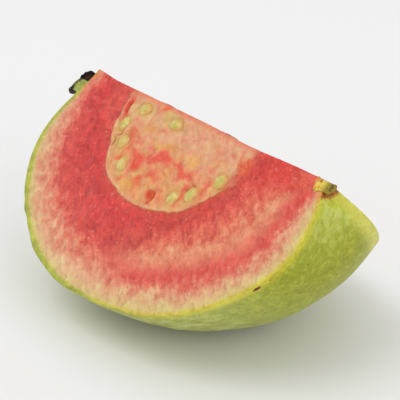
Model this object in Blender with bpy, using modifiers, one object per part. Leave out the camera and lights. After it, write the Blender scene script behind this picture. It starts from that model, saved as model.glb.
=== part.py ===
"""A hand-cut wedge of pink guava, lying on its skin with the cut edge uppermost.

Metres, +Z up. The fruit's own axis is the wedge's top edge and runs along X, stem end at +X and blossom
end at -X. The origin is the middle of the small flat spot that the wedge rests on.
"""

import math

import bmesh
import bpy
from mathutils import Vector

MM = 0.001

# The whole fruit, before the knife.
FRUIT_RADIUS = 42.0 * MM
FLAT_DEPTH = 0.8 * MM  # how far the skin is flattened where it rests
AXIS_HEIGHT = FRUIT_RADIUS - FLAT_DEPTH
DIP_POWER = 1.4
BLOSSOM_END = {"reach": 45.7 * MM, "squareness": 0.85, "dip": 12.2 * MM, "dip_radius": 15.2 * MM}
STEM_END = {"reach": 47.3 * MM, "squareness": 1.09, "dip": 8.9 * MM, "dip_radius": 13.2 * MM}
PROFILE_POINTS = 43
TURN_STEPS = 72

# The knife's two cuts, which meet on the fruit's axis.
WEDGE_ANGLE = math.radians(86)
KNIFE_SIZE = 150 * MM

GAP = 0.3 * MM  # between touching pieces

# A seed is a flattened egg, set in its pocket a little below the cut.
SEED_LENGTH = 4.2 * MM
SEED_WIDTH = 3.0 * MM
SEED_THICKNESS = 2.4 * MM
SEED_SINK = 0.7 * MM
HOLLOW_LENGTH = 3.6 * MM
HOLLOW_WIDTH = 2.6 * MM
HOLLOW_DEPTH = 1.3 * MM

# Places on a cut face: millimetres along the axis, millimetres down from the top edge, turn in degrees.
FRONT_SEEDS = [
    (-14.6, 3.0, 30),
    (-17.4, 7.4, 80),
    (-15.0, 11.0, 65),
    (-11.6, 15.0, 100),
    (-4.0, 3.0, 15),
    (6.4, 16.3, 75),
    (10.3, 14.0, 80),
    (15.2, 9.2, 70),
]
FRONT_HOLLOWS = [(0.8, 18.0, 85), (-19.4, 3.4, 80)]
BACK_SEEDS = [
    (-16.8, 4.8, 75),
    (-15.4, 10.4, 115),
    (-10.8, 14.2, 130),
    (-4.6, 17.4, 10),
    (-7.4, 3.2, 20),
    (3.2, 17.2, 165),
    (9.4, 15.0, 60),
    (13.8, 11.0, 50),
    (16.2, 4.4, 95),
]
BACK_HOLLOWS = [(-0.6, 18.2, 100), (6.6, 3.4, 20)]

# Sepals round the blossom dip. Bearings are turned about the fruit's axis from straight down, the back
# being positive. Radii are from the axis, and tip is how far out along the axis a sepal stands.
SEPAL_ROOT = -34.0 * MM  # along the axis, inside the flesh
SEPAL_THICKNESS = 1.4 * MM
SEPAL_NARROWING = 0.1  # of its width lost at the tip
SEPAL_ROUNDING = 0.12  # of its height lost at the tip's corners
SEPALS = {
    "sepal_front": {
        "bearing": -24,
        "spread": 24,
        "root_radius": 5.3 * MM,
        "tip_radius": 6.8 * MM,
        "tip": -41.6 * MM,
    },
    "sepal_back": {
        "bearing": 25,
        "spread": 21,
        "root_radius": 5.3 * MM,
        "tip_radius": 4.2 * MM,
        "tip": -41.2 * MM,
    },
}

# The woody stub of the stalk, in the dip at the stem end: radius and place along the axis.
STUB_PROFILE = [
    (0.0, 40.8 * MM),
    (1.5 * MM, 40.7 * MM),
    (2.4 * MM, 40.2 * MM),
    (2.8 * MM, 39.4 * MM),
    (2.7 * MM, 38.4 * MM),
    (2.9 * MM, 37.4 * MM),
    (3.2 * MM, 36.6 * MM),
    (0.0, 35.6 * MM),
]
STUB_STEPS = 24

# Colours in linear light, roughness.
FLESH = ((0.76, 0.14, 0.11), 0.35)
SEED_SHELL = ((0.68, 0.62, 0.24), 0.4)
DRIED_LEAF = ((0.03, 0.018, 0.014), 0.8)
WOOD = ((0.34, 0.25, 0.06), 0.75)


def clear_scene():
    for obj in list(bpy.data.objects):
        bpy.data.objects.remove(obj)


def make_collection(name, parent):
    collection = bpy.data.collections.new(name)
    parent.children.link(collection)
    return collection


def make_material(name, look):
    colour, roughness = look
    material = bpy.data.materials.new(name)
    material.use_nodes = True
    shader = material.node_tree.nodes["Principled BSDF"]
    shader.inputs["Base Color"].default_value = (*colour, 1.0)
    shader.inputs["Roughness"].default_value = roughness
    shader.inputs["Metallic"].default_value = 0.0
    return material


def add_object(name, mesh, collection, material=None):
    obj = bpy.data.objects.new(name, mesh)
    collection.objects.link(obj)
    if material:
        mesh.materials.append(material)
        mesh.shade_smooth()
        mesh.set_sharp_from_angle(angle=math.radians(40))
    else:
        obj.hide_render = True
        obj.display_type = "WIRE"
    return obj


def add_boolean(obj, name, cutter):
    modifier = obj.modifiers.new(name, "BOOLEAN")
    modifier.operation = "DIFFERENCE"
    modifier.solver = "EXACT"
    if isinstance(cutter, bpy.types.Collection):
        modifier.operand_type = "COLLECTION"
        modifier.collection = cutter
    else:
        modifier.object = cutter


def add_screw(obj, steps):
    modifier = obj.modifiers.new("Turn", "SCREW")
    modifier.axis = "Z"
    modifier.angle = 2 * math.pi
    modifier.steps = steps
    modifier.render_steps = steps
    modifier.use_merge_vertices = True
    modifier.merge_threshold = 0.00001
    modifier.use_smooth_shade = True


def turned_object(name, outline, steps, collection, material=None):
    """Turns an outline of (radius, place along the axis), stem end first, about the fruit's axis."""
    mesh = bpy.data.meshes.new(name)
    points = [(radius, 0.0, along) for radius, along in outline]
    edges = [(i, i + 1) for i in range(len(points) - 1)]
    mesh.from_pydata(points, edges, [])
    obj = add_object(name, mesh, collection, material)
    obj.location = (0.0, 0.0, AXIS_HEIGHT)
    obj.rotation_euler = (0.0, math.radians(90), 0.0)  # local Z along world +X, local X straight down
    add_screw(obj, steps)
    return obj


def fruit_profile(gap=0.0):
    """The fruit's outline from the stem end to the blossom end: an oval with a dip at each end."""
    outline = []
    for i in range(PROFILE_POINTS):
        angle = math.pi * i / (PROFILE_POINTS - 1)
        end = STEM_END if i < PROFILE_POINTS / 2 else BLOSSOM_END
        radius = FRUIT_RADIUS * math.sin(angle)
        reach = end["reach"] * abs(math.cos(angle)) ** end["squareness"]
        dip = end["dip"] * math.exp(-((radius / end["dip_radius"]) ** DIP_POWER))
        along = math.copysign(reach - dip + gap, math.cos(angle))
        outline.append((radius * (1 + gap / FRUIT_RADIUS), along))
    outline[0] = (0.0, outline[0][1])
    outline[-1] = (0.0, outline[-1][1])
    return outline


def make_block(name, collection):
    mesh = bpy.data.meshes.new(name)
    bm = bmesh.new()
    bmesh.ops.create_cube(bm, size=KNIFE_SIZE)
    bm.to_mesh(mesh)
    bm.free()
    return add_object(name, mesh, collection)


def make_knife(name, side, collection):
    """The half-space that one knife cut takes away. Side -1 is the front cut and +1 the back one."""
    knife = make_block(name, collection)
    half = WEDGE_ANGLE / 2
    outward = Vector((0.0, side * math.cos(half), math.sin(half)))
    knife.location = Vector((0.0, 0.0, AXIS_HEIGHT)) + outward * (KNIFE_SIZE / 2)
    knife.rotation_euler = (-side * (math.pi / 2 - half), 0.0, 0.0)
    return knife


def make_board(collection):
    """The surface that the wedge rests on, which flattens the skin."""
    board = make_block("resting_board", collection)
    board.location = (0.0, 0.0, -KNIFE_SIZE / 2)
    return board


def make_face_frame(name, side, collection):
    """An empty on the top edge, whose Z points out of one cut face and whose X runs along the axis."""
    frame = bpy.data.objects.new(name, None)
    collection.objects.link(frame)
    frame.location = (0.0, 0.0, AXIS_HEIGHT)
    frame.rotation_euler = (-side * (math.pi / 2 - WEDGE_ANGLE / 2), 0.0, 0.0)
    return frame


def egg_mesh(name, length, width, thickness):
    mesh = bpy.data.meshes.new(name)
    bm = bmesh.new()
    bmesh.ops.create_icosphere(bm, subdivisions=2, radius=1.0)
    bmesh.ops.scale(bm, vec=(length / 2, width / 2, thickness / 2), verts=bm.verts)
    bm.to_mesh(mesh)
    bm.free()
    return mesh


def place_on_face(obj, frame, side, place, sink):
    """Lays obj on a cut face. The face's own Y runs up the front cut and down the back one."""
    along, down, turn = place
    obj.parent = frame
    obj.location = (along * MM, side * down * MM, -sink)
    obj.rotation_euler = (0.0, 0.0, math.radians(turn))


def make_seeds(side, label, places, frame, parts, pockets, material):
    """One node for each seed that the cut shows, and the pocket round it."""
    seed_mesh = egg_mesh("seed", SEED_LENGTH, SEED_WIDTH, SEED_THICKNESS)
    pocket_mesh = egg_mesh(
        "pocket", SEED_LENGTH + 2 * GAP, SEED_WIDTH + 2 * GAP, SEED_THICKNESS + 2 * GAP
    )
    for number, place in enumerate(places, start=1):
        seed = add_object(f"seed_{label}_{number}", seed_mesh.copy(), parts, material)
        place_on_face(seed, frame, side, place, SEED_SINK)
        pocket = add_object(f"pocket_{label}_{number}", pocket_mesh.copy(), pockets)
        place_on_face(pocket, frame, side, place, SEED_SINK)


def make_hollows(side, label, places, frame, pockets):
    """Empty pockets, where the knife has pulled a seed out."""
    hollow_mesh = egg_mesh("hollow", HOLLOW_LENGTH, HOLLOW_WIDTH, 2 * HOLLOW_DEPTH)
    for number, place in enumerate(places, start=1):
        hollow = add_object(f"hollow_{label}_{number}", hollow_mesh.copy(), pockets)
        place_on_face(hollow, frame, side, place, 0.0)


def make_sepal(name, shape, parts, material):
    """A withered calyx lobe: a curled strip that narrows towards its tip, given its thickness."""
    mesh = bpy.data.meshes.new(name)
    bm = bmesh.new()
    bmesh.ops.create_grid(bm, x_segments=8, y_segments=6, size=1.0)
    for vert in bm.verts:
        across = vert.co.x
        up = (vert.co.y + 1) / 2
        width = 1 - SEPAL_NARROWING * up**2
        height = up * (1 - SEPAL_ROUNDING * across**2 * up)
        bearing = math.radians(shape["bearing"] + shape["spread"] * across * width)
        radius = shape["root_radius"] + (shape["tip_radius"] - shape["root_radius"]) * up**2
        vert.co = (
            SEPAL_ROOT + (shape["tip"] - SEPAL_ROOT) * height,
            radius * math.sin(bearing),
            AXIS_HEIGHT - radius * math.cos(bearing),
        )
    bm.to_mesh(mesh)
    bm.free()
    sepal = add_object(name, mesh, parts, material)
    thickness = sepal.modifiers.new("Thickness", "SOLIDIFY")
    thickness.thickness = SEPAL_THICKNESS
    thickness.offset = 0.0
    return sepal


def main():
    clear_scene()
    scene_root = bpy.context.scene.collection
    parts = make_collection("guava", scene_root)
    cutters = make_collection("cutters", scene_root)
    pockets = make_collection("seed_pockets", scene_root)

    front_knife = make_knife("front_knife", -1, cutters)
    back_knife = make_knife("back_knife", +1, cutters)
    board = make_board(cutters)
    clearance = turned_object("fruit_clearance", fruit_profile(GAP), TURN_STEPS, cutters)

    wedge = turned_object(
        "guava_wedge", fruit_profile(), TURN_STEPS, parts, make_material("flesh", FLESH)
    )
    add_boolean(wedge, "Front cut", front_knife)
    add_boolean(wedge, "Back cut", back_knife)
    add_boolean(wedge, "Flat spot", board)
    add_boolean(wedge, "Seed pockets", pockets)

    seed_shell = make_material("seed_shell", SEED_SHELL)
    front_frame = make_face_frame("front_cut_face", -1, parts)
    back_frame = make_face_frame("back_cut_face", +1, parts)
    make_seeds(-1, "front", FRONT_SEEDS, front_frame, parts, pockets, seed_shell)
    make_seeds(+1, "back", BACK_SEEDS, back_frame, parts, pockets, seed_shell)
    make_hollows(-1, "front", FRONT_HOLLOWS, front_frame, pockets)
    make_hollows(+1, "back", BACK_HOLLOWS, back_frame, pockets)

    dried_leaf = make_material("dried_leaf", DRIED_LEAF)
    end_pieces = [make_sepal(name, shape, parts, dried_leaf) for name, shape in SEPALS.items()]
    wood = make_material("wood", WOOD)
    end_pieces.append(turned_object("stem_stub", STUB_PROFILE, STUB_STEPS, parts, wood))
    for piece in end_pieces:
        add_boolean(piece, "Front cut", front_knife)
        add_boolean(piece, "Back cut", back_knife)
        add_boolean(piece, "Trim to skin", clearance)


main()
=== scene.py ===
"""The finished look of a wedge of pink guava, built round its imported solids. Metres, +Z up."""

import bpy
import numpy as np
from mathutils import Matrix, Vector


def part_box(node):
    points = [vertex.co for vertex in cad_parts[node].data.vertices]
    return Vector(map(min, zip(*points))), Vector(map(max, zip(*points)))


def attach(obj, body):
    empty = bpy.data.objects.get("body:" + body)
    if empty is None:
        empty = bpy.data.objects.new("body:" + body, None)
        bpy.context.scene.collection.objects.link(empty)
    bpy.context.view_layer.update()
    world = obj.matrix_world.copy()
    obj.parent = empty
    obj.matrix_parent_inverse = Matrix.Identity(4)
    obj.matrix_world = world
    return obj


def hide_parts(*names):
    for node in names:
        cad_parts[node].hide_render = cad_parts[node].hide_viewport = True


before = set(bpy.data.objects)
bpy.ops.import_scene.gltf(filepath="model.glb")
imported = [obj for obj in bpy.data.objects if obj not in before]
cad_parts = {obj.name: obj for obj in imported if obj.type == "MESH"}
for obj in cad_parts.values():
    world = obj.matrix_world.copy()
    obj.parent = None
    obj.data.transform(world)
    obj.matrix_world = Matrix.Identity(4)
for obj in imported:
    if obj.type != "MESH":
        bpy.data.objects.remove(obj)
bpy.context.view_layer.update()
scene = bpy.context.scene

# --- The wedge ------------------------------------------------------------------------------------
# A little under a quarter of the fruit, cut free by two strokes of a knife that meet on its axis.
# Skin, rind, flesh and seed pulp grew as one piece, so they are one closed surface here: its loops
# run from the top edge down the front cut, round the skin, and up the back cut.

MM = 0.001
FRUIT_RADIUS = 42.0 * MM
HALF_ANGLE = np.radians(43)  # between each cut and straight down
AXIS_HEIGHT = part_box("guava_wedge")[1].z
DIP_POWER = 1.4
BLOSSOM_END = {"reach": 45.7 * MM, "squareness": 0.85, "dip": 12.2 * MM, "dip_radius": 15.2 * MM}
STEM_END = {"reach": 47.3 * MM, "squareness": 1.09, "dip": 8.9 * MM, "dip_radius": 13.2 * MM}

ALONG_CELLS = 320
FACE_CELLS = 108
SKIN_CELLS = 92
WAVE_COUNT = 30


def fruit_profile(angle):
    """The outline from the blossom end (angle 0) to the stem end (pi), as places along the axis and
    radii: the radius is a sine, the place a cosine raised to the end's squareness, less a dip that
    fades with the radius."""
    radius = FRUIT_RADIUS * np.sin(angle)
    along = np.zeros_like(angle)
    for end, side in ((BLOSSOM_END, -1), (STEM_END, 1)):
        here = -np.cos(angle) * side > 0
        reach = end["reach"] * np.abs(np.cos(angle)) ** end["squareness"]
        dip = end["dip"] * np.exp(-((radius / end["dip_radius"]) ** DIP_POWER))
        along = np.where(here, side * (reach - dip), along)
    return along, radius


def waves(points, size, seed):
    """Smooth random relief of about unit height: a sum of cosine waves with lengths round size, in
    random directions."""
    rng = np.random.default_rng(seed)
    directions = rng.normal(size=(WAVE_COUNT, 3))
    directions /= np.linalg.norm(directions, axis=1, keepdims=True)
    turns = 2 * np.pi / (size * rng.uniform(0.7, 1.6, WAVE_COUNT))
    phases = rng.uniform(0, 2 * np.pi, WAVE_COUNT)
    relief = np.zeros(points.shape[:-1])
    for direction, turn, phase in zip(directions, turns, phases):
        relief += np.cos(points @ direction * turn + phase)
    return relief * np.sqrt(2 / WAVE_COUNT)


def smooth_step(low, high, value):
    """0 up to low, 1 past high, and an S-shaped cubic between them. It falls where low is the
    larger."""
    part = np.clip((value - low) / (high - low), 0, 1)
    return part * part * (3 - 2 * part)


def bell(value, middle, width):
    """1 at the middle, fading on both sides as a Gaussian bell of this width."""
    return np.exp(-(((value - middle) / width) ** 2))


def from_axis(along, radius, bearing):
    """Points from their place along the fruit's axis, distance from it and bearing from straight
    down, which is negative at the front."""
    across = radius * np.sin(bearing)
    height = AXIS_HEIGHT - radius * np.cos(bearing)
    return np.stack(np.broadcast_arrays(along, across, height), axis=-1)


def away_from_axis(bearing):
    """Directions straight out from the axis at these bearings."""
    return np.stack([np.zeros_like(bearing), np.sin(bearing), -np.cos(bearing)], axis=-1)


def off_the_cut(side):
    """Directions straight out of the front cut (side -1) or the back cut (side 1)."""
    rise = np.sin(HALF_ANGLE) * np.ones_like(side)
    return np.stack([np.zeros_like(side), side * np.cos(HALF_ANGLE), rise], axis=-1)


def close_rings(name, rings, first, last):
    """A closed surface from rings of points, shaped (rings, points, 3), with one point at each end.
    Neighbouring rings are joined by quads and each end by a fan, turned so that they face outwards."""
    count, around = rings.shape[:2]
    points = np.vstack([rings.reshape(-1, 3), [first, last]])
    row, column = np.meshgrid(np.arange(count - 1), np.arange(around), indexing="ij")
    following = (column + 1) % around
    quads = np.stack(
        [
            row * around + column,
            row * around + following,
            (row + 1) * around + following,
            (row + 1) * around + column,
        ],
        axis=-1,
    ).reshape(-1, 4)
    start, after = np.arange(around), (np.arange(around) + 1) % around
    base = (count - 1) * around
    first_fan = np.stack([after, start, np.full(around, len(points) - 2)], axis=-1)
    last_fan = np.stack([base + start, base + after, np.full(around, len(points) - 1)], axis=-1)
    centre = points.mean(axis=0)
    a, b, c = (points[quads[:, i]] - centre for i in range(3))
    if np.einsum("ij,ij->", a, np.cross(b, c)) < 0:
        quads, first_fan, last_fan = quads[:, ::-1], first_fan[:, ::-1], last_fan[:, ::-1]
    mesh = bpy.data.meshes.new(name)
    mesh.from_pydata(points.tolist(), [], quads.tolist() + first_fan.tolist() + last_fan.tolist())
    mesh.shade_smooth()
    piece = bpy.data.objects.new(name, mesh)
    scene.collection.objects.link(piece)
    return piece


def add_field(piece, name, values, first=0, last=0):
    """Stores one number or vector per point of a piece made by close_rings, for its materials: an
    array of them for the rings, then those of the two end points."""
    if values.ndim == 3:
        kind, key, width = "FLOAT_VECTOR", "vector", 3
    else:
        kind, key, width = "FLOAT", "value", 1
    ends = np.array([first, last], np.float32).reshape(2, width)
    column = np.vstack([values.reshape(-1, width).astype(np.float32), ends])
    piece.data.attributes.new(name, kind, "POINT").data.foreach_set(key, column.ravel())


def ease(count):
    """Steps from 0 to 1, closer together at both ends."""
    even = np.linspace(0, 1, count + 1)
    return 0.75 * even + 0.25 * (1 - np.cos(np.pi * even)) / 2


def wedge_loop(face_cells, skin_cells):
    """Once round a wedge, down the front cut, round the skin and up the back cut. Gives how far out
    each point is, as a share of the radius, and its bearing."""
    cut_steps = ease(face_cells)
    out_share = np.concatenate([cut_steps, np.ones(skin_cells - 1), cut_steps[:0:-1]])
    bearing = np.concatenate(
        [
            np.full(face_cells, -HALF_ANGLE),
            HALF_ANGLE * (2 * ease(skin_cells) - 1),
            np.full(face_cells - 1, HALF_ANGLE),
        ]
    )
    return out_share, bearing


out_share, bearing = wedge_loop(FACE_CELLS, SKIN_CELLS)
is_skin = np.zeros(len(bearing), bool)
is_skin[FACE_CELLS : FACE_CELLS + SKIN_CELLS + 1] = True

angles = np.linspace(0, np.pi, ALONG_CELLS + 1)[1:-1]
profile_along, profile_radius = fruit_profile(angles)
NEAR_POLE = 1e-4
pole_along, _ = fruit_profile(np.array([NEAR_POLE, np.pi - NEAR_POLE]))
axis_along = pole_along[0] + (pole_along[1] - pole_along[0]) * angles / np.pi

along = axis_along[:, None] + out_share * (profile_along - axis_along)[:, None]
down = out_share * profile_radius[:, None]
bearings = np.broadcast_to(bearing, down.shape)
skin_mask = np.broadcast_to(is_skin, down.shape)

# Distances that the finishes need, in millimetres: to the edge where cut meets skin, and from the
# outline of the seed pulp, which is a squarish half oval on each cut.
tangent = np.stack([np.gradient(profile_along), np.gradient(profile_radius)], axis=-1)
tangent /= np.linalg.norm(tangent, axis=1, keepdims=True)
ray = np.stack([profile_along - axis_along, profile_radius], axis=-1)
slant = np.abs(ray[:, 0] * tangent[:, 1] - ray[:, 1] * tangent[:, 0])
face_edge = (1 - out_share) * slant[:, None]
skin_edge = (HALF_ANGLE - np.abs(bearings)) * profile_radius[:, None]
edge = np.where(skin_mask, skin_edge, face_edge) / MM

PULP_CENTRE = -0.5 * MM
PULP_REACH = 20.0 * MM
PULP_DEPTH = 21.0 * MM
PULP_SQUARENESS_BLOSSOM = 2.6
PULP_SQUARENESS_STEM = 2.0

# Both cuts laid flat, far enough apart that their random relief and colours differ.
CUTS_APART = 60 * MM
flat_points = np.stack([along, down, np.sign(bearings) * CUTS_APART / 2], axis=-1)
sideways = along - PULP_CENTRE
power = np.where(sideways < 0, PULP_SQUARENESS_BLOSSOM, PULP_SQUARENESS_STEM)
oval = ((np.abs(sideways) / PULP_REACH) ** power + (down / PULP_DEPTH) ** power) ** (1 / power)
from_centre = np.hypot(sideways, down)
core = from_centre * (1 - 1 / (oval + 1e-6)) / MM
core += 0.16 * waves(flat_points, 8 * MM, seed=11)

# Patches of colour on the front cut: millimetres along and down, half length, half width, turn in
# degrees from the axis, strength. The back cut has the same ones the other way round.
RED_PATCHES = [
    (-19.1, 4.4, 2.2, 0.9, 80, 1.2),
    (-14.6, 5.6, 1.6, 0.9, 10, 0.6),
    (-13.2, 10.0, 2.9, 1.0, 106, 1.1),
    (-11.2, 9.3, 1.5, 1.1, 0, 0.5),
    (-8.0, 13.2, 3.4, 1.7, -25, 1.1),
    (-2.5, 10.6, 4.6, 2.0, 12, 1.2),
    (5.2, 10.9, 3.6, 1.6, 5, 1.0),
    (11.9, 8.0, 1.7, 1.2, 70, 0.5),
    (12.9, 11.8, 2.2, 1.2, 110, 0.9),
    (8.3, 15.2, 2.4, 0.9, 80, 1.6),
    (-4.5, 16.4, 2.4, 0.9, 60, 0.9),
    (-2.0, 14.8, 3.2, 0.8, 15, 0.8),
    (3.6, 17.4, 1.6, 0.8, 80, 0.5),
    (-6.0, 5.3, 1.7, 0.8, 20, 0.45),
    (11.0, 3.4, 2.4, 0.9, 10, 0.4),
]
ORANGE_PATCHES = [
    (18.6, 4.2, 2.6, 1.8, 115, 1.0),
    (17.2, 8.8, 1.9, 1.0, 100, 0.5),
    (-18.2, 3.0, 1.2, 0.9, 0, 0.8),
    (-14.3, 14.5, 1.3, 0.8, 40, 1.1),
    (-9.8, 17.3, 1.9, 0.7, 60, 0.9),
    (-9.0, 0.9, 1.9, 0.5, 0, 1.0),
    (-1.5, 8.9, 2.4, 0.6, 10, 0.6),
    (0.8, 13.6, 2.0, 0.7, 0, 0.5),
    (-3.6, 19.3, 1.8, 0.7, 0, 0.6),
    (10.6, 12.6, 1.2, 0.5, 20, 0.9),
    (-6.5, 11.8, 1.6, 0.7, 0, 0.5),
]
GOLD_PATCHES = [
    (-10.0, 6.0, 2.1, 1.5, 20, 0.9),
    (-3.6, 8.0, 4.2, 0.8, 8, 0.9),
    (2.9, 9.0, 2.4, 0.9, 0, 0.9),
    (6.8, 7.2, 1.6, 1.3, 40, 0.9),
    (-7.2, 18.3, 2.9, 1.6, 10, 1.1),
    (-7.3, 1.9, 1.7, 1.0, 0, 0.8),
    (12.4, 6.3, 2.0, 1.0, 20, 0.6),
    (4.8, 15.6, 1.3, 1.3, 0, 0.6),
    (2.0, 12.2, 2.0, 1.2, 0, 0.5),
    (-18.9, 9.4, 1.8, 1.0, 90, 0.6),
    (-0.9, 16.8, 2.0, 1.1, 90, 0.8),
    (-15.6, 15.8, 1.5, 1.0, 40, 0.5),
    (5.2, 18.6, 1.8, 0.8, 10, 0.6),
]
GREEN_PATCHES = [
    (-6.0, 2.6, 2.4, 1.5, 10, 0.9),
    (-3.2, 2.6, 2.4, 1.9, 10, 1.0),
    (-14.6, 3.2, 2.4, 1.8, 40, 0.9),
    (-17.6, 7.6, 2.6, 1.5, 80, 0.9),
    (-14.9, 11.2, 2.6, 1.7, 70, 0.9),
    (-11.7, 15.2, 2.4, 1.4, 100, 0.8),
    (6.3, 16.6, 2.4, 1.7, 80, 0.7),
    (10.6, 14.4, 2.4, 1.7, 80, 0.7),
    (15.3, 8.8, 2.6, 1.8, 70, 0.8),
]


def patches(marks, wander=0.45):
    """The strongest of the marks at each point, each fading as a Gaussian bell from its middle. The
    outlines wander by about this many millimetres."""
    strength = np.zeros_like(down)
    facing = -np.sign(bearings)
    drift_along = wander * waves(flat_points, 4.0 * MM, seed=12)
    drift_down = wander * waves(flat_points, 4.0 * MM, seed=13)
    for mark_along, mark_down, half_length, half_width, turn, peak in marks:
        run = facing * along / MM - mark_along + drift_along
        drop = down / MM - mark_down + drift_down
        cosine, sine = np.cos(np.radians(turn)), np.sin(np.radians(turn))
        lengthwise = (run * cosine - drop * sine) / half_length
        crosswise = (run * sine + drop * cosine) / half_width
        strength = np.maximum(strength, peak * np.exp(-(lengthwise**2) - crosswise**2))
    return strength


red_patches = patches(RED_PATCHES)

position = from_axis(along, down, bearings)
outward = np.where(
    skin_mask[..., None], away_from_axis(bearings), off_the_cut(np.sign(bearings))
)

# The knife leaves the cuts nearly flat. The pulp is softer and lumpier than the flesh, and stands
# a little above it, with a groove round it that is deepest on its stem side. The skin has broad
# waves, and fine folds along its underside. All of these heights and depths are in millimetres.
PULP_RISE = 0.10
RED_DEPTH = 0.08
GROOVE_DEPTH = 0.12
STEM_GROOVE_DEPTH = 0.25
TOP_EDGE_RELIEF = 0.35  # the share of the relief that is left at the top edge
FOLD_STRETCH = (0.12, 1, 1)
in_pulp = smooth_step(0.3, -0.3, core)
off_edge = smooth_step(0, 1.5, edge)
by_stem = smooth_step(0, 12 * MM, along)
groove = bell(core, 1.0, 0.9) * (GROOVE_DEPTH + STEM_GROOVE_DEPTH * by_stem)
lumps = 0.12 * waves(flat_points, 4.0 * MM, seed=5) + 0.05 * waves(flat_points, 1.6 * MM, seed=6)
relief = 0.12 * waves(flat_points, 15 * MM, seed=3) + 0.08 * waves(flat_points, 2.2 * MM, seed=4)
relief += in_pulp * (PULP_RISE + lumps - RED_DEPTH * red_patches) - groove
relief *= TOP_EDGE_RELIEF + (1 - TOP_EDGE_RELIEF) * smooth_step(0, 3 * MM, down)
skin_waves = 0.25 * waves(position, 26 * MM, seed=7) + 0.06 * waves(position, 7 * MM, seed=8)
skin_folds = 0.12 * waves(position * FOLD_STRETCH, 2.4 * MM, seed=10)
skin_folds *= smooth_step(26 * MM, 34 * MM, down) * smooth_step(24 * MM, 8 * MM, along)
lift = np.where(skin_mask, skin_waves + skin_folds, relief * off_edge)

# Each empty pocket is a steep pit with a torn rim, and short cracks open beside two of the seeds.
# Both lists are laid out like the patches of colour, and the depths are in millimetres.
HOLLOW_DEPTH = 0.9
TORN_RIM_HEIGHT = 0.12
CRACK_DEPTH = 0.10
HOLLOWS = [(0.9, 18.0, 1.7, 1.15, 80, 1.0), (-19.1, 4.4, 1.5, 0.55, 80, 0.7)]
CRACKS = [
    (-17.0, 11.6, 1.3, 0.28, 100, 1.0),
    (-16.3, 9.6, 1.2, 0.28, 60, 1.0),
    (8.9, 13.4, 1.4, 0.3, 75, 0.8),
    (9.9, 12.0, 0.9, 0.3, 20, 0.8),
]
pits = patches(HOLLOWS, wander=0.2)
cracks = patches(CRACKS, wander=0.15)
lift -= HOLLOW_DEPTH * smooth_step(0.15, 0.9, pits) - TORN_RIM_HEIGHT * bell(pits, 0.12, 0.08)
lift -= CRACK_DEPTH * cracks


def seed_frame(node):
    """A packed seed's middle, half sizes and three directions, longest first, from its own points."""
    points = np.array([point.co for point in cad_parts[node].data.vertices])
    middle = (points.min(axis=0) + points.max(axis=0)) / 2
    _, _, directions = np.linalg.svd(points - points.mean(axis=0), full_matrices=False)
    directions[2] = np.cross(directions[0], directions[1])
    spread = (points - middle) @ directions.T
    return middle, np.abs(spread).max(axis=0), directions


# The pulp dips round each seed and stands up in a low ring beyond it. The gap is 1 at the seed's
# widest outline, 2 at twice that far from its middle, and so on.
POCKET_DEPTH = 0.30
POCKET_RIM_HEIGHT = 0.08
FAR_GAP = 9.0
seed_nodes = sorted(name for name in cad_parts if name.startswith("seed_"))
seed_gap = np.full(down.shape, FAR_GAP)
for node in seed_nodes:
    middle, halves, directions = seed_frame(node)
    spread = (position - middle) @ directions.T / halves
    ring = np.hypot(spread[..., 0], spread[..., 1])
    near = (ring < 3) & (np.abs(spread[..., 2]) < 1.5) & ~skin_mask
    seed_gap = np.where(near, np.minimum(seed_gap, ring), seed_gap)
lift += POCKET_RIM_HEIGHT * bell(seed_gap, 1.4, 0.2)
lift -= POCKET_DEPTH * smooth_step(1.3, 0.8, seed_gap)
position += outward * (lift * MM)[..., None]

# The cuts' rims follow the skin's unevenness, which fades steeply inwards.
near_rim = out_share**8
front_rim, back_rim = skin_waves[:, [FACE_CELLS]], skin_waves[:, [FACE_CELLS + SKIN_CELLS]]
rim_waves = np.where(bearings < 0, front_rim, back_rim)
rim_shift = np.where(skin_mask, 0, rim_waves * near_rim) * MM
position += rim_shift[..., None] * away_from_axis(bearings)

# By the back cut the stem end is a little flatter.
by_back_cut = smooth_step(np.radians(20), HALF_ANGLE, bearings) * smooth_step(15 * MM, 25 * MM, along)
FLATTENING = 0.9 * MM
position[..., 0] -= FLATTENING * by_back_cut * bell(down, 23 * MM, 8 * MM) * near_rim

# The top edge isn't quite straight: it rises at the blossom tip and sags towards the stem.
# Nothing reaches below the flat spot that the wedge rests on.
TIP_RISE = 0.6 * MM
EDGE_SAG = 0.5 * MM
edge_lift = TIP_RISE * smooth_step(-26 * MM, -33 * MM, along) - EDGE_SAG * bell(along, 17 * MM, 9 * MM)
position[..., 2] += edge_lift * np.exp(-down / (5 * MM))
position[..., 2] = np.maximum(position[..., 2], 0.0)

TIP_POINT_RISE = 0.5 * MM
wedge = close_rings(
    "guava_body",
    position,
    (pole_along[0], 0, AXIS_HEIGHT + TIP_POINT_RISE),
    (pole_along[1], 0, AXIS_HEIGHT),
)
cut_place = flat_points / MM
CORE_AT_ENDS = (14, 16)  # millimetres from the pulp to the two ends of the axis
add_field(wedge, "cut", cut_place, cut_place[0, 0], cut_place[-1, 0])
add_field(wedge, "edge", edge)
add_field(wedge, "core", core, *CORE_AT_ENDS)
add_field(wedge, "radius", down / MM)
add_field(wedge, "red", red_patches)
add_field(wedge, "orange", patches(ORANGE_PATCHES))
add_field(wedge, "gold", patches(GOLD_PATCHES))
add_field(wedge, "green", patches(GREEN_PATCHES))
add_field(wedge, "pit", pits)
add_field(wedge, "crack", cracks)
add_field(wedge, "seed", seed_gap, FAR_GAP, FAR_GAP)

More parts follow.
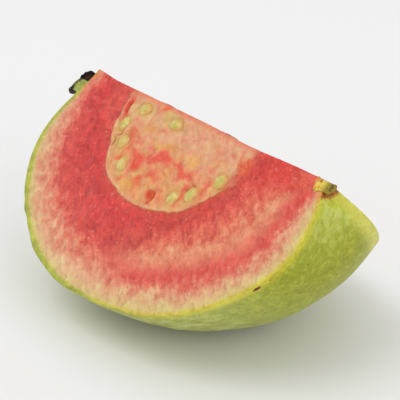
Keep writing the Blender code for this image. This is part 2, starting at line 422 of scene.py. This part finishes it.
# Scars on the skin of the stem half: millimetres from the axis, bearing in degrees, half length, half
# width, strength. The longest run beside the rim of the front cut.
SCARS = [
    (23.4, -41.2, 1.0, 0.42, 1.1),
    (20.8, -40.6, 0.6, 0.2, 0.9),
    (19.0, -39.6, 0.4, 0.2, 0.7),
    (15.2, -24.0, 0.35, 0.3, 0.8),
    (13.7, -37.0, 0.4, 0.25, 0.6),
    (26.5, -6.0, 0.5, 0.35, 0.8),
    (31.0, 21.0, 0.9, 0.4, 0.9),
    (17.5, 30.0, 0.4, 0.3, 0.7),
    (37.0, -20.0, 0.6, 0.3, 0.8),
]
scars = np.zeros_like(down)
for scar_radius, scar_bearing, half_length, half_width, peak in SCARS:
    run = (down / MM - scar_radius) / half_length
    turn = (bearings - np.radians(scar_bearing)) * scar_radius / half_width
    scars = np.maximum(scars, peak * np.exp(-(run**2) - turn**2))
add_field(wedge, "scar", scars * skin_mask * (along > 0))

GLOSS_SHARE = 0.045
DARKEST = 0.004


def screen_colour(red, green, blue):
    """A colour given as a moist surface looks under white light, 0 to 255 on a screen, brought to
    linear light by the sRGB curve and less the white that its gloss adds."""
    shares = np.array([red, green, blue]) / 255
    linear = np.where(shares <= 0.04045, shares / 12.92, ((shares + 0.055) / 1.055) ** 2.4)
    matt = np.maximum((linear - GLOSS_SHARE) / (1 - GLOSS_SHARE), DARKEST)
    return (*matt.tolist(), 1.0)


class Wire:
    """One link in a material's node tree. Arithmetic on wires that carry numbers adds Math nodes."""

    def __init__(self, tree, socket=None):
        self.tree = tree
        self.socket = socket

    def add(self, kind, settings=None, inputs=None, output=0):
        """Adds a node: its settings first, then the values or wires of its sockets."""
        node = self.tree.nodes.new("ShaderNode" + kind)
        for name, value in (settings or {}).items():
            if name == "stops":
                elements = node.color_ramp.elements
                for _ in value[2:]:
                    elements.new(1.0)
                for element, (place, colour) in zip(elements, value):
                    element.position = place
                    element.color = colour
            else:
                setattr(node, name, value)
        for name, value in (inputs or {}).items():
            if isinstance(value, Wire):
                self.tree.links.new(value.socket, node.inputs[name])
            else:
                node.inputs[name].default_value = value
        return Wire(self.tree, node.outputs[output] if node.outputs else None)

    def math(self, operation, first, second=0.0):
        """One Math node on two numbers or wires."""
        return self.add("Math", {"operation": operation}, {0: first, 1: second})

    def __add__(self, other):
        return self.math("ADD", self, other)

    __radd__ = __add__

    def __sub__(self, other):
        return self.math("SUBTRACT", self, other)

    def __rsub__(self, other):
        return self.math("SUBTRACT", other, self)

    def __mul__(self, other):
        return self.math("MULTIPLY", self, other)

    __rmul__ = __mul__

    def __truediv__(self, other):
        return self.math("DIVIDE", self, other)

    def field(self, name):
        """The number that add_field stored under this name."""
        return self.add("Attribute", {"attribute_name": name}, output="Fac")

    def place(self):
        """The point's place on the object, in metres."""
        return self.add("TexCoord", output="Object")

    def noise(self, size, detail=3.0, roughness=0.5, distortion=0.0, vector=None):
        """Cloudy noise from 0 to 1, with features of about this size in metres, or in the vector's
        own units. Detail is how many finer layers are added, and roughness how strong they are."""
        return self.add(
            "TexNoise",
            None,
            {
                "Vector": vector or self.place(),
                "Scale": 1 / size,
                "Detail": detail,
                "Roughness": roughness,
                "Distortion": distortion,
            },
        )

    def cells(self, size):
        """The distance to the nearest of many scattered points, about this many metres apart."""
        inputs = {"Vector": self.place(), "Scale": 1 / size}
        return self.add("TexVoronoi", None, inputs, output="Distance")

    def rise(self, low, high):
        """0 below low, 1 above high, smooth between; falling where low is above high."""
        falling = low > high
        bounds = {"From Min": min(low, high), "From Max": max(low, high)}
        ends = {"To Min": float(falling), "To Max": float(not falling)}
        return self.add(
            "MapRange", {"interpolation_type": "SMOOTHSTEP"}, {"Value": self, **bounds, **ends}
        )

    def ramp(self, stops):
        """Colours along this number, as (place, (red, green, blue)) with screen colours."""
        coloured = [(place, screen_colour(*colour)) for place, colour in stops]
        return self.add("ValToRGB", {"stops": coloured}, {"Fac": self})

    def mix_with(self, factor, first, second, blend="MIX"):
        """Blends two colours by a factor; plain tuples are colours on a screen."""
        first, second = (
            screen_colour(*each) if isinstance(each, tuple) else each for each in (first, second)
        )
        return self.add(
            "Mix",
            {"data_type": "RGBA", "blend_type": blend},
            {0: factor, 6: first, 7: second},
            output=2,
        )

    def mix(self, first, second, blend="MIX"):
        """Blends two colours by this number."""
        return self.mix_with(self, first, second, blend)

    def bump(self, height, depth, under=None):
        """A normal raised by height, 0 to 1, over a depth in metres."""
        inputs = {"Height": height, "Distance": depth}
        if under:
            inputs["Normal"] = under
        return self.add("Bump", None, inputs)


def new_finish(name):
    """An empty material and the wire that starts its nodes."""
    material = bpy.data.materials.new(name)
    material.use_nodes = True
    material.node_tree.nodes.clear()
    return material, Wire(material.node_tree)


def coat_finish(start, varying, constants):
    """Ends a material in one Principled shader: sockets that vary over the surface, then fixed ones."""
    shader = start.add("BsdfPrincipled", None, {**constants, **varying})
    start.add("OutputMaterial", None, {"Surface": shader})


# The cut: wet, faintly translucent flesh and pulp. Sizes of noise on the cut's own map are in
# millimetres, and the streaks run the way the knife was drawn.
flesh, start = new_finish("cut_flesh")
edge_mm = start.field("edge")
core_mm = start.field("core")
ridge_mm = start.field("radius")
x_place = start.add("SeparateXYZ", None, {"Vector": start.place()}, output="X")
cut_map = start.add("Attribute", {"attribute_name": "cut"}, output="Vector")
STROKE_TURN = np.radians(49)  # between the knife's stroke and the axis
STROKE_STRETCH = (0.45, 1.0, 1.0)
drawn = start.add("Mapping", None, {"Vector": cut_map, "Rotation": (0, 0, -STROKE_TURN)})
drawn = start.add("Mapping", None, {"Vector": drawn, "Scale": STROKE_STRETCH})
streaks = start.noise(0.9, 3, 0.6, vector=drawn)
grain = start.noise(0.8, 3, 0.6, 0.4, vector=cut_map)
fine = start.noise(0.4, 2, 0.6, vector=cut_map)
blobs = start.noise(1.7, 1.5, 0.45, 0.3, vector=cut_map)
clouds = start.noise(3.4, 3, 0.55, 0.4, vector=cut_map)
drift = start.noise(11, 2, 0.5, vector=cut_map)

# The flesh's colour goes by the share of the way from the pulp to the skin: red by the pulp and pale
# by the rind, with a second red band on the stem side. At the two tips the red reaches the skin.
outward_share = core_mm / (core_mm + edge_mm + 0.01)
texture = 0.14 * (streaks - 0.5) + 0.10 * (grain - 0.5) + 0.04 * (fine - 0.5)
bent_share = outward_share + 0.24 * (clouds - 0.5) + 0.14 * (drift - 0.5) + texture
to_tip = ridge_mm.rise(13.0, 3.0) * x_place.rise(-12 * MM, -24 * MM)
blossom_side = (bent_share - 0.26 * to_tip).ramp(
    [
        (0.00, (220, 92, 82)),
        (0.12, (211, 76, 74)),
        (0.35, (216, 84, 80)),
        (0.52, (220, 95, 86)),
        (0.60, (228, 124, 104)),
        (0.74, (231, 160, 128)),
        (0.86, (230, 182, 141)),
        (0.98, (222, 202, 140)),
    ]
)
to_stalk = ridge_mm.rise(8.0, 2.0) * x_place.rise(24 * MM, 33 * MM)
stem_side = (bent_share - 0.20 * to_stalk).ramp(
    [
        (0.00, (216, 94, 80)),
        (0.12, (212, 82, 75)),
        (0.24, (223, 101, 87)),
        (0.34, (229, 124, 99)),
        (0.45, (231, 156, 120)),
        (0.54, (229, 138, 110)),
        (0.65, (226, 97, 88)),
        (0.75, (227, 124, 104)),
        (0.85, (228, 174, 134)),
        (0.97, (220, 198, 136)),
    ]
)
flesh_colour = x_place.rise(-4 * MM, 12 * MM).mix(blossom_side, stem_side)
ridge_red = x_place.rise(16 * MM, 26 * MM) * (ridge_mm + 8 * (clouds - 0.5)).rise(9.0, 3.0)
flesh_colour = (0.75 * ridge_red * edge_mm.rise(3.0, 6.0)).mix(flesh_colour, (221, 77, 70))

# The rind is greenish, and the skin shows edge on as a thin yellow-green line.
green_rind = (edge_mm + 2.4 * (clouds - 0.5) + 1.2 * (streaks - 0.5)).rise(2.8, 0.6)
away_from_tip = (1 - to_tip) * (1 - to_stalk)
flesh_colour = (0.6 * green_rind * away_from_tip).mix(flesh_colour, (220, 206, 136))
near_tip = ridge_mm.rise(6.5, 3.5) * x_place.rise(-20 * MM, -30 * MM)
line_width = edge_mm * (1 - 0.45 * x_place.rise(2 * MM, -14 * MM)) * (1 + 1.1 * near_tip)
skin_line = (line_width + 0.5 * (grain - 0.5)).rise(0.95, 0.35)
line_colour = x_place.rise(-2 * MM, 12 * MM).mix((182, 192, 80), (214, 203, 88))
line_colour = near_tip.mix(line_colour, (220, 156, 84))
line_colour = to_stalk.mix(line_colour, (222, 150, 88))
flesh_colour = skin_line.mix(flesh_colour, line_colour)

# The pulp is salmon, with patches of gold, red and green frayed along its strands. It is browner
# round each seed, paler along the fibres and down the blossom side of its rim, and redder along the
# top edge.
strands = start.noise(2.4, 3, 0.5, 1.5, vector=cut_map)
tangle = start.noise(1.2, 3, 0.6, 1.0, vector=cut_map)
depth_share = ridge_mm.rise(6.0, 13.0)
hue = strands + 0.3 * (clouds - 0.5)
upper = hue.ramp([(0.35, (224, 168, 122)), (0.50, (227, 170, 133)), (0.66, (228, 150, 122))])
lower = hue.ramp([(0.35, (226, 172, 112)), (0.50, (228, 158, 114)), (0.66, (229, 134, 104))])
pulp_colour = depth_share.mix(upper, lower)
ragged = 0.60 * (strands - 0.5) + 0.18 * (tangle - 0.5)
redness = (start.field("red") + ragged).rise(0.0, 0.95)
orangeness = (start.field("orange") + ragged).rise(0.10, 1.10)
goldness = (start.field("gold") + ragged).rise(0.0, 0.95)
greenness = (start.field("green") + ragged).rise(0.0, 0.75)
pulp_colour = (0.85 * goldness).mix(pulp_colour, (226, 164, 92))
pulp_colour = (0.95 * redness).mix(pulp_colour, (229, 92, 76))
pulp_colour = (0.8 * greenness).mix(pulp_colour, (214, 188, 118))
by_seed = (start.field("seed") + (strands - 0.5)).rise(1.35, 0.95)
pulp_colour = (0.35 * by_seed).mix(pulp_colour, (218, 150, 92))
fibres = start.math("ABSOLUTE", tangle - 0.5).rise(0.03, 0.0)
pulp_colour = (0.25 * fibres).mix(pulp_colour, (236, 196, 150))
rim_of_pulp = (core_mm + 0.5 * (tangle - 0.5)).rise(-1.1, -0.4)
at_blossom = x_place.rise(14 * MM, 8 * MM) * ridge_mm.rise(5.0, 9.0)
patchy = (strands + 0.5 * (clouds - 0.5)).rise(0.40, 0.58)
pulp_colour = (0.8 * rim_of_pulp * at_blossom * patchy).mix(pulp_colour, (228, 186, 138))
along_ridge = (ridge_mm + 2.0 * (strands - 0.5)).rise(1.5, 0.2)
pulp_colour = (0.7 * along_ridge).mix(pulp_colour, (229, 124, 100))

# The pulp's outline is crisp, but melts into the flesh where it meets the top edge.
wobble = 0.3 * (tangle - 0.5) + 0.5 * (strands - 0.5)
crisp = (core_mm + wobble).rise(0.25, -0.25)
blurred = (core_mm + 4 * (strands - 0.5)).rise(1.4, -1.8)
near_top_right = x_place.rise(11 * MM, 16 * MM) * ridge_mm.rise(12.0, 8.0)
near_top_left = x_place.rise(-12 * MM, -16 * MM) * ridge_mm.rise(4.0, 1.0)
softness = start.math("MAXIMUM", near_top_right, near_top_left)
pulp_mask = crisp + softness * (blurred - crisp)
colour = pulp_mask.mix(flesh_colour, pulp_colour)

# Orange patches straddle that outline. The empty pockets and the cracks are painted a darker
# red-brown inside, as the shade that falls in them.
colour = (0.9 * orangeness).mix(colour, (234, 110, 70))
pit_shade = (start.field("pit") + 0.2 * (fine - 0.5)).rise(0.12, 0.6)
colour = (0.95 * pit_shade).mix(colour, tangle.ramp([(0.4, (206, 74, 44)), (0.6, (218, 104, 62))]))
colour = (start.field("crack") + 0.5 * (fine - 0.5)).rise(0.2, 0.9).mix(colour, (176, 88, 62))

# Painted light and shade of the fine lumps and streaks, with the flesh's own uneven tone, softer on
# the pulp and by the rind, then small painted wet glints on the flesh.
shading = 0.5 + 0.50 * (streaks - 0.5) + 0.30 * (grain - 0.5) + 0.15 * (fine - 0.5)
shading = shading + 0.55 * (clouds - 0.5) + 0.55 * (blobs - 0.5)
by_rind = edge_mm.rise(7.0, 2.0)
softer = 0.5 * start.math("MAXIMUM", pulp_mask, by_rind)
colour = (1 - softer).mix(colour, shading, "OVERLAY")
glints = (grain + 0.6 * (fine - 0.5)).rise(0.65, 0.77) * (1 - pulp_mask)
colour = (0.35 * glints).mix(colour, (248, 190, 172))
colour = start.mix_with(1.0, colour, pulp_mask.mix((239, 232, 231), (240, 239, 237)), "MULTIPLY")
flesh_relief = (1 - 0.6 * pulp_mask) * (blobs + 0.5 * streaks)
normal = start.bump(flesh_relief, 0.8 * MM)
normal = start.bump(fine, 0.06 * MM, normal)
coat_finish(
    start,
    {"Base Color": colour, "Normal": normal, "Roughness": 0.24 + 0.3 * clouds},
    {
        "Subsurface Weight": 0.08,
        "Subsurface Radius": (1.0, 0.35, 0.25),
        "Subsurface Scale": 1.5 * MM,
        "IOR": 1.4,
        "Coat Weight": 0.2,
        "Coat Roughness": 0.12,
    },
)

# The skin: waxy, cloudy yellow-green. Two colours go by the distance from the axis, as shares of this
# span: the skin's own, darkest halfway out, and that of its rim.
RAMP_SPAN_MM = 40
skin, start = new_finish("guava_skin")
edge_mm = start.field("edge")
radius_mm = start.field("radius")
x_place, y_place = (
    start.add("SeparateXYZ", None, {"Vector": start.place()}, output=axis) for axis in "XY"
)
blotches = start.noise(9 * MM, 3, 0.55)
mottle = start.noise(1.8 * MM, 4, 0.65)
pores = start.noise(0.7 * MM, 2, 0.6)
bent_radius = radius_mm + 9 * (blotches - 0.5) + 3 * (mottle - 0.5)
colour = (bent_radius / RAMP_SPAN_MM).ramp(
    [
        (0.06, (194, 184, 68)),
        (0.14, (184, 193, 78)),
        (0.22, (177, 187, 82)),
        (0.30, (162, 168, 68)),
        (0.44, (154, 159, 60)),
        (0.62, (162, 168, 78)),
        (0.78, (172, 178, 98)),
        (0.95, (182, 187, 112)),
    ]
)

# Pale flecks near the ends, fainter ones all over, olive blushes, and painted light and shade on
# the ripples along the underside.
pale = (mottle + 0.5 * (blotches - 0.5)).rise(0.50, 0.62) * bent_radius.rise(15.0, 8.0)
colour = (0.5 * pale).mix(colour, (194, 200, 132))
faint = (mottle + 0.8 * (pores - 0.5)).rise(0.50, 0.72)
colour = (0.3 * faint).mix(colour, (186, 190, 108))
yellowing = (blotches + 0.3 * (mottle - 0.5)).rise(0.52, 0.72)
colour = (0.35 * yellowing).mix(colour, (176, 166, 72))
RIPPLE_STRETCH = (0.16, 1.0, 1.0)
lengthwise = start.add("Mapping", None, {"Vector": start.place(), "Scale": RIPPLE_STRETCH})
ripple_light_and_shade = start.noise(2.0 * MM, 3, 0.55, 0.3, vector=lengthwise)
underside = (radius_mm + 6 * (blotches - 0.5)).rise(28.0, 36.0)
# Pale streaks on the ripples are painted light on their crests, and dark ones painted shade between
# them.
colour = (0.6 * underside * ripple_light_and_shade.rise(0.50, 0.62)).mix(colour, (202, 206, 142))
colour = (0.45 * underside * ripple_light_and_shade.rise(0.48, 0.36)).mix(colour, (140, 146, 66))

# A paler yellow band beside the cuts is a painted highlight along the skin's edge, wider beside
# the back one.
behind = y_place.rise(-4 * MM, 8 * MM)
rim_highlight_width = edge_mm * (1 - 0.55 * behind) + 1.6 * (mottle - 0.5) + (blotches - 0.5)
rim_highlight_colour = (radius_mm / RAMP_SPAN_MM).ramp(
    [(0.30, (196, 192, 76)), (0.50, (190, 182, 68)), (0.72, (214, 206, 98)), (0.92, (196, 192, 88))]
)
rim_highlight_colour = behind.mix(rim_highlight_colour, (206, 202, 104))
colour = rim_highlight_width.rise(2.2, 0.4).mix(colour, rim_highlight_colour)

# A dark ring round the stalk, partly its corky scar and partly the stub's painted shadow,
# withered skin round the calyx, dark specks, and the scars.
corky_scar_and_shadow = (radius_mm + 0.8 * (mottle - 0.5)).rise(4.2, 3.2) * x_place.rise(0, 5 * MM)
colour = corky_scar_and_shadow.mix(colour, pores.ramp([(0.4, (150, 78, 34)), (0.6, (196, 132, 56))]))
withered = (radius_mm + 3.0 * (mottle - 0.5)).rise(8.0, 4.0) * x_place.rise(0, -5 * MM)
colour = (0.8 * withered).mix(colour, (126, 104, 52))
cells = start.cells(3.4 * MM)
specks = cells.rise(0.075, 0.03) * (blotches + mottle).rise(0.95, 1.1)
colour = (0.7 * specks).mix(colour, (122, 96, 44))
colour = (start.field("scar") + 0.5 * (pores - 0.5)).rise(0.35, 0.75).mix(colour, (116, 64, 36))

shading = 0.5 + 0.42 * (mottle - 0.5) + 0.28 * (pores - 0.5)
colour = start.mix_with(1.0, colour, shading, "OVERLAY")
normal = start.bump(mottle, 0.4 * MM)
normal = start.bump(pores, 0.12 * MM, normal)
coat_finish(
    start,
    {"Base Color": colour, "Normal": normal, "Roughness": 0.40 + 0.2 * mottle},
    {
        "Specular IOR Level": 0.35,
        "Subsurface Weight": 0.04,
        "Subsurface Radius": (0.6, 0.8, 0.2),
        "Subsurface Scale": 1.0 * MM,
    },
)

wedge.data.materials.append(flesh)
wedge.data.materials.append(skin)
# Every cell of the loop that lies on the skin takes the second material.
strip = np.zeros(len(bearing), np.int32)
strip[FACE_CELLS : FACE_CELLS + SKIN_CELLS] = 1
slots = np.concatenate([np.tile(strip, len(angles) - 1), strip, strip])
wedge.data.polygons.foreach_set("material_index", slots)
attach(wedge, "root")
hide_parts("guava_wedge")

# --- The seeds ------------------------------------------------------------------------------------
# Hard pale yellow seeds, each a flattened egg lying loose in its own pocket of the pulp, with a wet
# smear of pulp over it.

SEED_RINGS = 22
SEED_AROUND = 28
SEED_TAPER = 0.12
SEED_UNEVENNESS = 0.03

seed_coat, start = new_finish("seed_coat")
smear = start.noise(1.4 * MM, 3, 0.6)
wet = start.noise(2.6 * MM, 2, 0.5)
bare = (start.field("proud") + 1.3 * (smear - 0.5)).rise(-0.30, 0.40)
shell = smear.ramp([(0.35, (180, 176, 92)), (0.50, (198, 185, 110)), (0.65, (218, 198, 138))])
colour = bare.mix((216, 158, 106), shell)
colour = (0.6 * wet.rise(0.50, 0.62)).mix(colour, (214, 170, 114))
normal = start.bump(start.noise(0.5 * MM, 2), 0.15 * MM)
coat_finish(start, {"Base Color": colour, "Normal": normal}, {"Roughness": 0.36, "IOR": 1.4})

# A unit ball, drawn out of round so that one end is the narrower: from tip to tip, and round.
tip_to_tip = np.linspace(0, np.pi, SEED_RINGS + 2)[1:-1, None]
around = np.linspace(0, 2 * np.pi, SEED_AROUND, endpoint=False)
egg_radius = np.sin(tip_to_tip) * (1 - SEED_TAPER * np.cos(tip_to_tip))
egg = np.stack(
    np.broadcast_arrays(
        -np.cos(tip_to_tip), egg_radius * np.cos(around), egg_radius * np.sin(around)
    ),
    axis=-1,
)
for number, node in enumerate(seed_nodes):
    middle, halves, directions = seed_frame(node)
    shape = egg * (1 + SEED_UNEVENNESS * waves(egg, 0.8, seed=20 + number)[..., None])
    points = middle + (shape * halves) @ directions
    tips = middle + np.array([[-1.0, 0, 0], [1.0, 0, 0]]) * halves[0] @ directions
    seed = close_rings(node.replace("seed", "pip"), points, tips[0], tips[1])
    proud = (points - (0, 0, AXIS_HEIGHT)) @ off_the_cut(np.sign(middle[1])) / MM
    add_field(seed, "proud", proud, -1, -1)
    seed.data.materials.append(seed_coat)
    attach(seed, "root")
    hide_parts(node)

# --- The calyx ------------------------------------------------------------------------------------
# What is left of the flower: one fleshy green lobe that has dried along its front edge, and one sepal
# dried black and curled in over the dip. Both grow from the skin round the blossom end.

SEPAL_ROOT = -34.6 * MM
SEPAL_ROOT_RADIUS = 5.2 * MM
SEPAL_THICKNESS = 1.4 * MM
SEPAL_SWELL = 0.5 * MM
SEPAL_WRINKLE = 0.08 * MM
SEPAL_RINGS = 44
SEPAL_AROUND = 80
# The crown's rim: bearing from straight down, distance from the axis, place along it (millimetres).
CROWN_RIM = np.array(
    [
        (-42, 6.3, -37.8),
        (-34, 6.5, -40.0),
        (-28, 6.2, -41.0),
        (-20, 5.6, -41.5),
        (-10, 4.9, -41.6),
        (0, 4.2, -41.5),
        (10, 3.4, -41.1),
        (20, 2.8, -40.4),
        (30, 2.3, -39.3),
        (38, 2.0, -38.3),
        (43, 2.2, -37.6),
    ]
)
LOBES = {
    "sepal_front": {"bearing": -18.5, "spread": 23.5, "inset": 0.0},
    "sepal_back": {"bearing": 19.5, "spread": 23, "inset": 0.15 * MM},
}


def lobe_rings(shape, seed):
    """A curled strip: rings of a flattened oval climb from the root to the crown's rim, swelling
    outwards halfway, and thin out at the top. Also gives each point's share of the height and its
    bearing."""
    up = np.linspace(0, 1, SEPAL_RINGS)[:, None]
    around = np.linspace(0, 2 * np.pi, SEPAL_AROUND, endpoint=False)
    across = np.cos(around) * np.ones_like(up)
    through = np.sin(around) * np.ones_like(up)
    width = 1 - 0.02 * up**3
    turn = shape["bearing"] + shape["spread"] * across * width
    rim_radius = np.interp(turn, CROWN_RIM[:, 0], CROWN_RIM[:, 1]) * MM
    rim_place = np.interp(turn, CROWN_RIM[:, 0], CROWN_RIM[:, 2]) * MM
    thickness = SEPAL_THICKNESS / 2 * (1 - 0.4 * up**2) * np.sqrt(1 - 0.97 * up**12)
    radius = SEPAL_ROOT_RADIUS + (rim_radius - SEPAL_ROOT_RADIUS) * up**1.5
    radius += SEPAL_SWELL * np.sin(np.pi * up) - shape["inset"] + through * thickness
    height = up * (1 - 0.03 * across**8)
    points = from_axis(SEPAL_ROOT + (rim_place - SEPAL_ROOT) * height, radius, np.radians(turn))
    crease = waves(points, 1.8 * MM, seed) * SEPAL_WRINKLE * up
    points += crease[..., None] * (away_from_axis(np.radians(turn)) + (0.6, 0, 0))
    return points, up * np.ones_like(across), turn


def withered_finish(name, fresh, black_from, black_to):
    """Fresh colour at the root, dried and blackened from one share of the height to another."""
    material, start = new_finish(name)
    crumple = start.noise(1.2 * MM, 4, 0.65)
    fine = start.noise(0.4 * MM, 3)
    height = start.field("height") + 0.4 * (crumple - 0.5)
    green = crumple.ramp([(0.3, fresh), (0.7, (188, 194, 122))])
    dry = crumple.ramp([(0.35, (66, 50, 48)), (0.60, (78, 60, 56)), (0.75, (112, 84, 60))])
    colour = height.rise(black_from, black_to).mix(green, dry)
    normal = start.bump(crumple, 0.4 * MM)
    normal = start.bump(fine, 0.15 * MM, normal)
    coat_finish(
        start,
        {"Base Color": colour, "Normal": normal, "Roughness": 0.45 + 0.4 * fine},
        {"Specular IOR Level": 0.3},
    )
    return material


lobe_finishes = {
    "sepal_front": withered_finish("green_lobe", (150, 160, 82), 0.86, 0.97),
    "sepal_back": withered_finish("dried_sepal", (134, 138, 70), 0.36, 0.50),
}
for number, (node, shape) in enumerate(LOBES.items()):
    rings, height, turn = lobe_rings(shape, seed=50 + number)
    # The front edge has dried down to its root, and the middle of the crown is still fresh.
    height += 0.8 * smooth_step(-25, -35, turn) - 0.45 * smooth_step(17, 3, turn)
    lobe = close_rings(f"calyx_{node}", rings, rings[0].mean(axis=0), rings[-1].mean(axis=0))
    add_field(lobe, "height", height, 0, 1)
    lobe.data.materials.append(lobe_finishes[node])
    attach(lobe, "root")
    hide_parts(node)

# --- The stub of stalk ----------------------------------------------------------------------------
# The last few millimetres of the woody stalk, split by the knife with the fruit: corky and knobbly,
# with painted shade darkening its tip and its crevices, and pinkish where it joins the fruit.

# Places along the axis and radii, in millimetres.
STUB_PROFILE = np.array(
    [
        (36.2, 0.3),
        (36.5, 1.5),
        (37.1, 2.5),
        (37.9, 2.9),
        (38.7, 2.8),
        (39.4, 2.4),
        (40.0, 1.9),
        (40.5, 1.2),
        (40.8, 0.3),
    ]
)
STUB_RINGS = 48
STUB_FACE_CELLS = 14
STUB_BARK_CELLS = 26
STUB_PROUD = 0.25 * MM  # how far the split faces stand off the cuts

stub_share, stub_bearing = wedge_loop(STUB_FACE_CELLS, STUB_BARK_CELLS)
walk = np.linspace(0, 1, STUB_RINGS)
steps = np.linspace(0, 1, len(STUB_PROFILE))
stub_along = np.interp(walk, steps, STUB_PROFILE[:, 0]) * MM
stub_radius = np.interp(walk, steps, STUB_PROFILE[:, 1]) * MM
points = from_axis(stub_along[:, None], stub_radius[:, None] * stub_share, stub_bearing)
knobs = 0.13 * waves(points, 2.2 * MM, seed=60) + 0.07 * waves(points, 0.9 * MM, seed=61)
swelling = 1 + knobs * stub_share**2
points[..., 1] *= swelling
points[..., 2] = AXIS_HEIGHT + (points[..., 2] - AXIS_HEIGHT) * swelling
proud = STUB_PROUD * stub_share * (stub_share < 1)
points += proud[:, None] * off_the_cut(np.sign(stub_bearing))
stub = close_rings("stalk_stub", points, points[0].mean(axis=0), points[-1].mean(axis=0))

bark, start = new_finish("stalk_bark")
flakes = start.noise(1.1 * MM, 4, 0.65)
place_x = start.add("SeparateXYZ", None, {"Vector": start.place()}, output="X")
colour = flakes.ramp([(0.34, (158, 112, 48)), (0.48, (214, 184, 84)), (0.66, (232, 208, 112))])
# The tip, which faces away from the light, is painted darker olive-brown as shade.
shaded_tip = (place_x + 4 * MM * (flakes - 0.5)).rise(38.6 * MM, 39.8 * MM)
colour = shaded_tip.mix(colour, flakes.ramp([(0.4, (120, 104, 38)), (0.6, (164, 150, 60))]))
joining = (place_x + 1.5 * MM * (flakes - 0.5)).rise(37.6 * MM, 36.6 * MM)
colour = (0.85 * joining).mix(colour, (222, 128, 84))
# Dark brown between the knobs is painted shade in the crevices.
crevice_shade = (start.noise(0.6 * MM, 2) + 0.4 * (flakes - 0.5)).rise(0.42, 0.32)
colour = (0.7 * crevice_shade).mix(colour, (128, 84, 40))
normal = start.bump(flakes, 0.6 * MM)
coat_finish(start, {"Base Color": colour, "Normal": normal, "Roughness": 0.55 + 0.3 * flakes}, {})
stub.data.materials.append(bark)
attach(stub, "root")
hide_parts("stem_stub")

# --- Floor, light and camera ----------------------------------------------------------------------
# A plain pale floor, a broad soft light high before the front cut, a weaker one past the stem end,
# and an even white surround.

FLOOR_REACH = 4.0
FLOOR_GREY = 0.79
SURROUND_STRENGTH = 0.88

floor_corners = [
    (-FLOOR_REACH, -FLOOR_REACH, 0),
    (FLOOR_REACH, -FLOOR_REACH, 0),
    (FLOOR_REACH, FLOOR_REACH, 0),
    (-FLOOR_REACH, FLOOR_REACH, 0),
]
floor_mesh = bpy.data.meshes.new("floor")
floor_mesh.from_pydata(floor_corners, [], [(0, 1, 2, 3)])
floor = bpy.data.objects.new("floor", floor_mesh)
scene.collection.objects.link(floor)
paper, start = new_finish("pale_floor")
floor_colour = (FLOOR_GREY, FLOOR_GREY, FLOOR_GREY, 1)
coat_finish(start, {}, {"Base Color": floor_colour, "Roughness": 0.9})
floor_mesh.materials.append(paper)

world = bpy.data.worlds.new("studio")
world.use_nodes = True
surround = world.node_tree.nodes["Background"].inputs
surround["Color"].default_value = (1, 1, 1, 1)
surround["Strength"].default_value = SURROUND_STRENGTH
scene.world = world
scene.view_settings.view_transform = "Standard"


def aim(thing, place, target):
    """Puts a light or camera at a place, looking at a target."""
    thing.location = place
    thing.rotation_euler = (Vector(target) - Vector(place)).to_track_quat("-Z", "Y").to_euler()


def soft_light(name, place, size, watts):
    """A round area light of this size, aimed at the middle of the wedge."""
    light = bpy.data.lights.new(name, "AREA")
    light.shape = "DISK"
    light.size = size
    light.energy = watts
    lamp = bpy.data.objects.new(name, light)
    scene.collection.objects.link(lamp)
    aim(lamp, place, (0, 0, AXIS_HEIGHT / 2))


soft_light("key_light", place=(-0.2, -0.9, 1.7), size=1.2, watts=9.0)
soft_light("fill_light", place=(1.7, -0.3, 0.9), size=1.2, watts=6.0)

VIEW_AZIMUTH = np.radians(51.7)
VIEW_ELEVATION = np.radians(24.9)
VIEW_DISTANCE = 0.348
VIEW_TARGET = np.array([1.2, 0.0, 23.7]) * MM
LENS_MM = 154.3

toward_camera = np.array(
    [
        np.sin(VIEW_AZIMUTH) * np.cos(VIEW_ELEVATION),
        -np.cos(VIEW_AZIMUTH) * np.cos(VIEW_ELEVATION),
        np.sin(VIEW_ELEVATION),
    ]
)
camera_data = bpy.data.cameras.new("camera")
camera_data.lens = LENS_MM
camera_data.clip_start = 0.01
camera = bpy.data.objects.new("camera", camera_data)
scene.collection.objects.link(camera)
aim(camera, (VIEW_TARGET + VIEW_DISTANCE * toward_camera).tolist(), VIEW_TARGET.tolist())
scene.camera = camera
